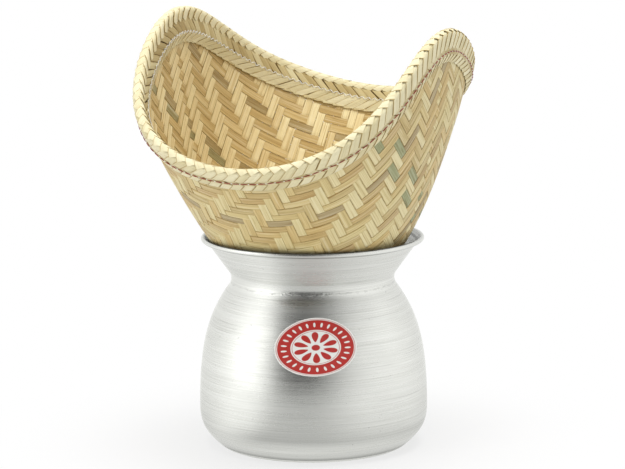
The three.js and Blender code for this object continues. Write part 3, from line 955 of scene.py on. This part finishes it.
class STEAMER_OT_stage(bpy.types.Operator):
    """Set the camera, the floor and the soft lights"""
    bl_idname = "steamer.stage"
    bl_label = "Stage"

    def execute(self, context):
        sizes = context.scene.steamer_stage
        scene = context.scene
        scene.view_settings.view_transform = "Standard"
        self.add_camera(scene, sizes)
        self.add_world(scene, sizes)
        self.add_floor(sizes)
        self.add_lights(scene, sizes)
        self.add_walls()
        return {"FINISHED"}

    def add_camera(self, scene, sizes):
        target = Vector((0, 0, POT_HEIGHT))
        back = Vector((0, -math.cos(sizes.camera_height), math.sin(sizes.camera_height)))
        right = Vector((1, 0, 0))
        up = back.cross(right)
        level, tilted = math.cos(sizes.camera_roll), math.sin(sizes.camera_roll)
        right, up = right * level - up * tilted, up * level + right * tilted
        data = bpy.data.cameras.new("camera")
        data.lens = sizes.lens
        data.sensor_width = SENSOR_WIDTH
        camera = bpy.data.objects.new("camera", data)
        turn = Matrix((right, up, back)).transposed().to_4x4()
        camera.matrix_world = Matrix.Translation(target + back * sizes.camera_distance) @ turn
        scene.collection.objects.link(camera)
        scene.camera = camera

    def add_world(self, scene, sizes):
        """A white studio for the camera and for mirrors, and an even light for all else."""
        world = bpy.data.worlds.new("studio")
        scene.world = world
        world.use_nodes = True
        tree = world.node_tree
        seen = any_ray(tree, "Is Camera Ray", "Is Glossy Ray", "Is Transmission Ray")
        strength = add_node(tree, "ShaderNodeMix", {0: seen, 2: sizes.sky, 3: 1.0}, data_type="FLOAT")
        set_inputs(tree, tree.nodes["Background"], {"Color": (1, 1, 1, 1), "Strength": strength.outputs[0]})

    def add_floor(self, sizes):
        material, tree, shader = new_material("pale_floor")
        bm = bmesh.new()
        bmesh.ops.create_circle(bm, cap_ends=True, segments=FLOOR_SIDES, radius=sizes.floor_radius)
        floor = add_object("floor", bm, [material])
        set_inputs(tree, shader, {"Base Color": (*sizes.floor_colour, 1), "Roughness": 0.9,
                                  "Specular IOR Level": 0.1})
        reach = add_node(tree, "ShaderNodeVectorMath", {0: object_place(tree)}, operation="LENGTH")
        faded = add_node(tree, "ShaderNodeMapRange", {
            "Value": reach.outputs["Value"],
            "From Min": SHADE_FROM,
            "From Max": SHADE_TO,
            "To Min": SHADE_LEVEL,
            "To Max": 1.0,
        }, interpolation_type="SMOOTHSTEP")
        seen = any_ray(tree, "Is Camera Ray", "Is Glossy Ray")
        white = maths(tree, "MULTIPLY", faded.outputs[0], seen)
        both = add_node(tree, "ShaderNodeMixShader", {0: white, 1: shader.outputs[0], 2: glowing(tree, 1.0)})
        tree.links.new(both.outputs[0], tree.nodes["Material Output"].inputs["Surface"])
        lay_out(tree)

    def add_lights(self, scene, sizes):
        for name, place, aim, size, strength in (
            ("left_light", (-1.7, -1.5, 1.2), (0, 0, 0.22), (1.0, 1.5), sizes.side_light),
            ("right_light", (1.8, -1.2, 1.1), (0, 0, 0.22), (0.9, 1.4), sizes.side_light * RIGHT_SHARE),
            ("top_light", (0.1, -0.2, 2.2), (0, 0, 0.3), (1.6, 1.2), sizes.top_light),
        ):
            data = bpy.data.lights.new(name, "AREA")
            data.shape = "RECTANGLE"
            data.size, data.size_y = size
            data.energy = strength
            light = bpy.data.objects.new(name, data)
            light.location = place
            light.visible_glossy = False
            light.rotation_euler = (Vector(aim) - Vector(place)).to_track_quat("-Z", "Y").to_euler()
            scene.collection.objects.link(light)

    def add_walls(self):
        """The studio's soft boxes and the dim gaps between them, which only mirrored light meets."""
        degrees, dims, spreads = np.array(RISE_GLOWS).T
        rises = np.linspace(0, degrees[-1], WALL_ROWS)
        rows = [(reach, CARD_LIFT, level, part, 1) for reach, level, part in FLOOR_GLOWS]
        rows += [(WALL_REACH * math.cos(rise), CARD_LIFT + WALL_REACH * math.sin(rise), dim, None, spread)
                 for rise, dim, spread in zip(np.radians(rises), np.interp(rises, degrees, dims),
                                              np.interp(rises, degrees, spreads))]
        bm = bmesh.new()
        bmesh.ops.create_grid(bm, x_segments=WALL_COLUMNS, y_segments=len(rows) - 1, size=1)
        layer = bm.verts.layers.float.new("glow")
        turns, glows = np.array(WALL_GLOWS).T
        for vert in bm.verts:
            side = vert.co.x * math.pi
            reach, high, level, part, spread = rows[round((vert.co.y + 1) / 2 * (len(rows) - 1))]
            glow = float(np.interp(math.degrees(side) / spread, turns, glows))
            vert[layer] = level * glow if part is None else mix(level, glow, part)
            vert.co = (reach * math.sin(side), -reach * math.cos(side), high)
        bmesh.ops.remove_doubles(bm, verts=bm.verts, dist=1e-5)
        material, tree, _ = new_material("studio_walls")
        glow = glowing(tree, attribute(tree, "glow"))
        tree.links.new(glow, tree.nodes["Material Output"].inputs["Surface"])
        walls = add_object("studio_walls", bm, [material])
        for rays in ("camera", "diffuse", "shadow", "transmission"):
            setattr(walls, f"visible_{rays}", False)


# The pot


class STEAMER_OT_pot(bpy.types.Operator):
    """Spin the aluminium pot from its outline"""
    bl_idname = "steamer.pot"
    bl_label = "Pot"

    def execute(self, context):
        sizes = context.scene.steamer_pot
        outline, _ = pot_outline()
        bm = bmesh.new()
        verts = [bm.verts.new((r, 0, z)) for r, z in outline]
        edges = [bm.edges.new(pair) for pair in zip(verts, verts[1:])]
        bmesh.ops.spin(bm, geom=verts + edges, cent=(0, 0, 0), axis=(0, 0, 1), dvec=(0, 0, 0),
                       angle=FULL_TURN, steps=sizes.sides, use_merge=True, use_duplicate=False)
        bmesh.ops.remove_doubles(bm, verts=bm.verts, dist=1e-6)
        bmesh.ops.recalc_face_normals(bm, faces=bm.faces)
        piece = finish_object("pot_spun_body", bm, [aluminium_material(sizes)], "pot",
                              POT_SHARP_ANGLE)
        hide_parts("pot_body")
        return {"FINISHED"}


class STEAMER_OT_label(bpy.types.Operator):
    """Stick the oval label on the pot's shoulder"""
    bl_idname = "steamer.label"
    bl_label = "Label"

    def execute(self, context):
        sizes = context.scene.steamer_label
        _, outer = pot_outline()
        radii, heights = np.array(outer).T

        def radius_at(height):
            return float(np.interp(height, heights, radii))

        low, high = (radius_at(LABEL_CENTRE_HEIGHT + side * sizes.height / 2) for side in (-1, 1))
        slope = math.atan2(low - high, sizes.height)
        bm = bmesh.new()
        bmesh.ops.create_circle(bm, cap_ends=True, cap_tris=True, segments=LABEL_SEGMENTS, radius=1)
        spokes = [edge for edge in bm.edges if min(v.co.length for v in edge.verts) < 0.01]
        bmesh.ops.subdivide_edges(bm, edges=spokes, cuts=LABEL_CUTS, use_grid_fill=False)
        uv = bm.loops.layers.uv.new("face")
        for face in bm.faces:
            for loop in face.loops:
                loop[uv].uv = loop.vert.co.xy
        turn = Matrix.Rotation(LABEL_TILT, 2)
        for vert in bm.verts:
            across, up = turn @ Vector((vert.co.x * sizes.width / 2, vert.co.y * sizes.height / 2))
            height = LABEL_CENTRE_HEIGHT + up * math.cos(slope)
            reach = radius_at(height) + (sizes.lift + sizes.thickness / 2) / math.cos(slope)
            around = LABEL_SIDE_TURN + across / radius_at(LABEL_CENTRE_HEIGHT)
            vert.co = (reach * math.sin(around), -reach * math.cos(around), height)
        piece = finish_object("pot_sticker", bm, [label_material(sizes)], "pot")
        thicken(piece, sizes.thickness)
        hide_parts("pot_label")
        return {"FINISHED"}


# The basket


class STEAMER_OT_splints(bpy.types.Operator):
    """Plait the basket's mat from single splints"""
    bl_idname = "steamer.splints"
    bl_label = "Bamboo splints"

    def execute(self, context):
        sizes = context.scene.steamer_basket
        mat = MatMap(sizes.pitch)
        outer = strip_material("bamboo_outer_face", "outer_tone", OUTER_TONES, 1.55, 0.52, edge=0.3)
        inner = strip_material("bamboo_inner_face", "inner_tone", INNER_TONES, 1.7, 0.58, edge=0.24)
        dice = random.Random(SPLINT_SEED)
        for name, kind, indices in (
            ("splints_over_ridge", "ridge", range(-RIDGE_SPLINTS, RIDGE_SPLINTS)),
            ("splints_level_behind", "back", range(LEVEL_SPLINTS)),
            ("splints_level_in_front", "front", range(LEVEL_SPLINTS)),
        ):
            bm = strip_bmesh()
            for index in indices:
                add_splint(bm, sizes, mat, Splint(kind, index, sizes.pitch), dice)
            piece = finish_object(name, bm, [outer, inner])
            thicken(piece, sizes.thickness, inner_material=1)
            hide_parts("basket_mat")
        return {"FINISHED"}


# The rim


class RimLine:
    """The rim's curve, measured along its length."""

    STEPS = 1440

    def __init__(self):
        angles = np.linspace(0, FULL_TURN, self.STEPS + 1)
        points = mat_point(rim_height(angles), angles)
        runs = np.concatenate([[0], np.cumsum(np.linalg.norm(np.diff(points, axis=0), axis=1))])
        self.angles, self.runs, self.length = angles, runs, runs[-1]

    def angle(self, run):
        turns = np.floor(run / self.length)
        return np.interp(run - turns * self.length, self.runs, self.angles) + turns * FULL_TURN

    def starts(self, count):
        """Even places round the rim."""
        return [i / count * self.length for i in range(count)]


# The flat braid is folded over the edge. Rows of its strands, in millimetres across the braid from the
# outer hem over the roll to the inner hem: where a row starts and stops, how far its strands shift along
# the rim on the way, how far their ends slant, their width in pitches, how far their two edges stand off
# the fold's middle, how far their first and last ends dive under the next row, and their range of tones.
BraidRow = namedtuple("BraidRow", "name way shift slant width stands dives tones")
# The seam, inner and inner hem rows take darker tones: partly the strands' own tan, and partly painted shade
# where these rows face down or lie between others.
BRAID_ROWS = {
    "rim_braid_outside": (
        BraidRow("hem", (0.2, 13.0), 10.0, -0.5, 0.96, (5.2, 4.5), (1.1, 0.8), (0.05, 0.5)),
        BraidRow("seam", (10.8, 17.6), -10.0, 0.3, 0.97, (4.6, 5.0), (0.4, 0.6), (0.3, 0.8)),
        BraidRow("outer", (16.2, 28.8), 13.0, -1.0, 0.9, (5.35, 4.6), (0.4, 1.1), (0.05, 0.4)),
    ),
    "rim_roll": (
        BraidRow("over", (27.6, 34.4), -6.2, 2.4, 0.94, (5.5, 4.9), (-0.4, 0.0), (0.0, 0.22)),
        BraidRow("top", (30.6, 40.4), 13.5, -1.0, 0.81, (4.5, 5.45), (1.3, 0.0), (0.0, 0.35)),
    ),
    "rim_braid_inside": (
        BraidRow("inner", (38.4, 52.8), -19.0, 0.4, 0.84, (5.0, 4.3), (0.9, 0.7), (0.3, 1.0)),
        BraidRow("low", (50.0, 62.4), 18.0, -0.8, 0.79, (4.9, 5.2), (0.0, 0.3), (0.0, 0.3)),
        BraidRow("inner_hem", (60.6, 63.6), -3.0, 0.6, 1.0, (4.7, 4.5), (0.4, 0.0), (0.3, 0.7)),
    ),
}
FOLD_START = 22.4 * MM
FOLD_LENGTH = 15.7 * MM
# Towards its hems the band is thinner: from this far down, over this length, by this much.
THIN_FROM, THIN_OVER, THIN_BY = 12 * MM, 11 * MM, 2.4 * MM
STRAND_ROWS, STRAND_COLUMNS = 9, 5
# How strands differ: their place in pitches, their shift as a factor, and their height in millimetres.
PLACE_SCATTER, SHIFT_SCATTER, HEIGHT_SCATTER = 0.07, (0.9, 1.1), 0.1
# How much narrower these rows' strands get at the tips of the ears, and from which share of an ear on.
NARROWED_ROWS, NARROWING, NARROWED_FROM = ("over", "top", "inner"), 0.07, 0.88
# How far a strand's middle is puffed up, in millimetres, and the shares of its length that bound the puff.
PUFF = 0.22
PUFF_ENDS = (0.05, 0.95)
# Over which share of its length a strand's end dives, and how sharply.
DIVE_SHARE, DIVE_CURVE = 0.25, 1.5
# The core's section in millimetres: a round head, its flanks, and the slot that takes the mat's edge.
CORE_HEAD = 4.0
CORE_HEAD_TURNS = (0.6, 1.1)
CORE_FLANK = ((3.3, -12), (3.6, -4), (CORE_HEAD, 0))
CORE_FOOT_HALF, CORE_FOOT_OUTSIDE, CORE_FOOT_INSIDE = 1.4, -21.0, -24.0
SLOT_HALF, SLOT_TOP = 1.0, -1.5
CORE_STEPS = 240


class STEAMER_OT_rim(bpy.types.Operator):
    """Fold the braid over the basket's edge"""
    bl_idname = "steamer.rim"
    bl_label = "Rim braid"

    def execute(self, context):
        sizes = context.scene.steamer_rim
        line = RimLine()
        leaf = strip_material("pale_leaf", "outer_tone", PALM_TONES, 0.55, 0.55, edge=0.8)
        self.add_core(sizes, line)
        dice = random.Random(BRAID_SEED)
        for name, rows in BRAID_ROWS.items():
            bm = strip_bmesh()
            for row in rows:
                for i in range(sizes.strands):
                    self.add_strand(bm, line, sizes.strands, i, row, dice)
            piece = finish_object(name, bm, [leaf])
            thicken(piece, sizes.thickness)
            if name != "rim_roll":
                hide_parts("rim_plait")
        return {"FINISHED"}

    def core_section(self):
        """Points round the core's section: across the rim and up from the roll's centre."""
        head = [(CORE_HEAD * math.cos(turn), CORE_HEAD * math.sin(turn)) for turn in CORE_HEAD_TURNS]
        half = [*CORE_FLANK, *head]
        section = [(CORE_FOOT_HALF, CORE_FOOT_OUTSIDE), *half, (0, CORE_HEAD)]
        section += [*((-x, z) for x, z in half[::-1]), (-CORE_FOOT_HALF, CORE_FOOT_INSIDE)]
        section += [(-SLOT_HALF, CORE_FOOT_INSIDE), (-SLOT_HALF, SLOT_TOP), (SLOT_HALF, SLOT_TOP),
                    (SLOT_HALF, CORE_FOOT_OUTSIDE)]
        return np.array(section) * MM

    def add_core(self, sizes, line):
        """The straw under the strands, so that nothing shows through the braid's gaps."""
        across, rise = self.core_section().T
        bm = bmesh.new()
        rings = [[bm.verts.new(point) for point in seated(band_point(line.angle(start), across, rise))]
                 for start in line.starts(CORE_STEPS)]
        loops = [[bm.edges.new(pair) for pair in zip(ring, ring[1:] + ring[:1])] for ring in rings]
        for first, second in zip(loops, loops[1:] + loops[:1]):
            bmesh.ops.bridge_loops(bm, edges=first + second)
        bmesh.ops.recalc_face_normals(bm, faces=bm.faces)
        finish_object("rim_core", bm, [core_material(sizes)])

    def add_strand(self, bm, line, count, i, row, dice):
        """The part of one flat strand that shows in a row, with one edge tucked under the next strand."""
        pitch = line.length / count
        down = np.linspace(0, 1, STRAND_ROWS)[:, None]
        across = np.linspace(-1, 1, STRAND_COLUMNS)[None, :]
        way = (mix(*row.way, down) + row.slant * across) * MM
        middle = (i + 0.5 + dice.uniform(-PLACE_SCATTER, PLACE_SCATTER)) * pitch
        shift = row.shift * dice.uniform(*SHIFT_SCATTER) * MM
        ear = np.cos(line.angle(middle)) ** 2
        narrowing = NARROWING if row.name in NARROWED_ROWS else 0
        narrow = 1 - narrowing * max(0, (ear - NARROWED_FROM) / (1 - NARROWED_FROM))
        run = middle + across * row.width * narrow / 2 * pitch + shift * (down - 0.5)
        tuck = mix(*row.stands, (across + 1) / 2)
        puff = PUFF * (1 - across ** 2) * np.sin(math.pi * np.clip(down, *PUFF_ENDS))
        puff += dice.uniform(-HEIGHT_SCATTER, HEIGHT_SCATTER)
        dive = sum(depth * np.maximum(0, 1 - way_in / DIVE_SHARE) ** DIVE_CURVE
                   for depth, way_in in zip(row.dives, (down, 1 - down)))
        over = np.clip((way - FOLD_START) / FOLD_LENGTH, 0, 1) * math.pi
        drop = np.maximum(0, FOLD_START - way) + np.maximum(0, way - FOLD_START - FOLD_LENGTH)
        stand = (tuck + puff - dive) * MM - THIN_BY * np.clip((drop - THIN_FROM) / THIN_OVER, 0, 1)
        points = seated(band_point(line.angle(run), stand * np.cos(over), stand * np.sin(over) - drop))
        tone = dice.uniform(*row.tones)
        fibres = way[:, STRAND_COLUMNS // 2] + dice.uniform(*FIBRE_SHIFTS)
        add_strip(bm, points[:, ::-1], across[0], fibres, (tone, tone))


# Where the outer seam runs: how far out its red stitches and white ties are, and how far below the roll.
SEAM_OUT, TIE_OUT, SEAM_RISE = 6.05 * MM, 5.85 * MM, -7.0 * MM
# From one red stitch to the next, a stitch's length, where its white tie starts and stops, and its waver.
SEAM_PITCH = 8.4 * MM
RED_LENGTH = 7.2 * MM
TIE_START, TIE_STOP = 7.3 * MM, 8.3 * MM
SEAM_WAVER = 0.3 * MM
# The white zigzag inside: its pitch, a stitch's length, its place, its swing and its thickness as a share.
ZIGZAG_PITCH, ZIGZAG_LENGTH = 3.6 * MM, 3.8 * MM
ZIGZAG_OUT, ZIGZAG_RISE, ZIGZAG_SWING = -5.8 * MM, -12.5 * MM, 1.6 * MM
ZIGZAG_THICKNESS = 0.8
THREAD_SIDES, THREAD_ROWS = 6, 5


class STEAMER_OT_threads(bpy.types.Operator):
    """Sew the rim with a red thread outside and a white one inside"""
    bl_idname = "steamer.threads"
    bl_label = "Threads"

    def execute(self, context):
        sizes = context.scene.steamer_rim
        line = RimLine()
        dice = random.Random(THREAD_SEED)
        red, white = bmesh.new(), bmesh.new()
        thick, thin = sizes.stitch_radius, sizes.stitch_radius * ZIGZAG_THICKNESS
        for start in line.starts(round(line.length / SEAM_PITCH)):
            waver = dice.uniform(-SEAM_WAVER, SEAM_WAVER)
            rises = (SEAM_RISE + waver, SEAM_RISE - waver)
            self.add_stitch(red, line, (start, start + RED_LENGTH), SEAM_OUT, rises, thick)
            tie = (start + TIE_START, start + TIE_STOP)
            self.add_stitch(white, line, tie, TIE_OUT, (SEAM_RISE, SEAM_RISE), thick)
        for i, start in enumerate(line.starts(round(line.length / ZIGZAG_PITCH))):
            swing = ZIGZAG_SWING if i % 2 else -ZIGZAG_SWING
            rises = (ZIGZAG_RISE - swing, ZIGZAG_RISE + swing)
            self.add_stitch(white, line, (start, start + ZIGZAG_LENGTH), ZIGZAG_OUT, rises, thin)
        for name, bm, material in (
            ("seam_thread_red", red, thread_material("red_thread", sizes.red)),
            ("seam_thread_white", white, thread_material("white_thread", sizes.white)),
        ):
            finish_object(name, bm, [material])
        return {"FINISHED"}

    def add_stitch(self, bm, line, runs, out, rises, radius):
        """A stretch of thread from one place of the rim to another."""
        first, last = (Vector(end) for end in seated(band_point(line.angle(np.array(runs)), out, rises)))
        turn = (last - first).to_track_quat("X", "Z").to_matrix().to_4x4()
        size = Matrix.Diagonal(((last - first).length / 2, radius, radius, 1))
        place = Matrix.Translation((first + last) / 2) @ turn @ size @ Matrix.Rotation(QUARTER, 4, "Y")
        bmesh.ops.create_uvsphere(bm, u_segments=THREAD_SIDES, v_segments=THREAD_ROWS, radius=1, matrix=place)


# The panel and the registration


class STEAMER_PT_panel(bpy.types.Panel):
    """Sizes and colours of the steamer, and a button for each group of pieces"""
    bl_label = "Sticky rice steamer"
    bl_idname = "STEAMER_PT_panel"
    bl_space_type = "VIEW_3D"
    bl_region_type = "UI"
    bl_category = "Steamer"

    def draw(self, context):
        for name, operators in STEPS:
            box = self.layout.box()
            group = getattr(context.scene, name)
            for key in group.bl_rna.properties.keys():
                if key not in ("rna_type", "name"):
                    box.prop(group, key)
            for operator in operators:
                box.operator(operator)


PROPERTY_GROUPS = {
    "steamer_stage": StageSizes,
    "steamer_pot": PotSizes,
    "steamer_label": LabelSizes,
    "steamer_basket": BasketSizes,
    "steamer_rim": RimSizes,
}
STEPS = (
    ("steamer_stage", ("steamer.stage",)),
    ("steamer_pot", ("steamer.pot",)),
    ("steamer_label", ("steamer.label",)),
    ("steamer_basket", ("steamer.splints",)),
    ("steamer_rim", ("steamer.rim", "steamer.threads")),
)
CLASSES = (*PROPERTY_GROUPS.values(), STEAMER_OT_stage, STEAMER_OT_pot, STEAMER_OT_label, STEAMER_OT_splints,
           STEAMER_OT_rim, STEAMER_OT_threads, STEAMER_PT_panel)


def register():
    for item in CLASSES:
        bpy.utils.register_class(item)
    for name, group in PROPERTY_GROUPS.items():
        setattr(bpy.types.Scene, name, PointerProperty(type=group))


def unregister():
    for name in PROPERTY_GROUPS:
        delattr(bpy.types.Scene, name)
    for item in reversed(CLASSES):
        bpy.utils.unregister_class(item)


def main():
    register()
    bpy.ops.steamer.stage()
    bpy.ops.steamer.pot()
    bpy.ops.steamer.label()
    bpy.ops.steamer.splints()
    bpy.ops.steamer.rim()
    bpy.ops.steamer.threads()


if __name__ == "__main__":
    main()
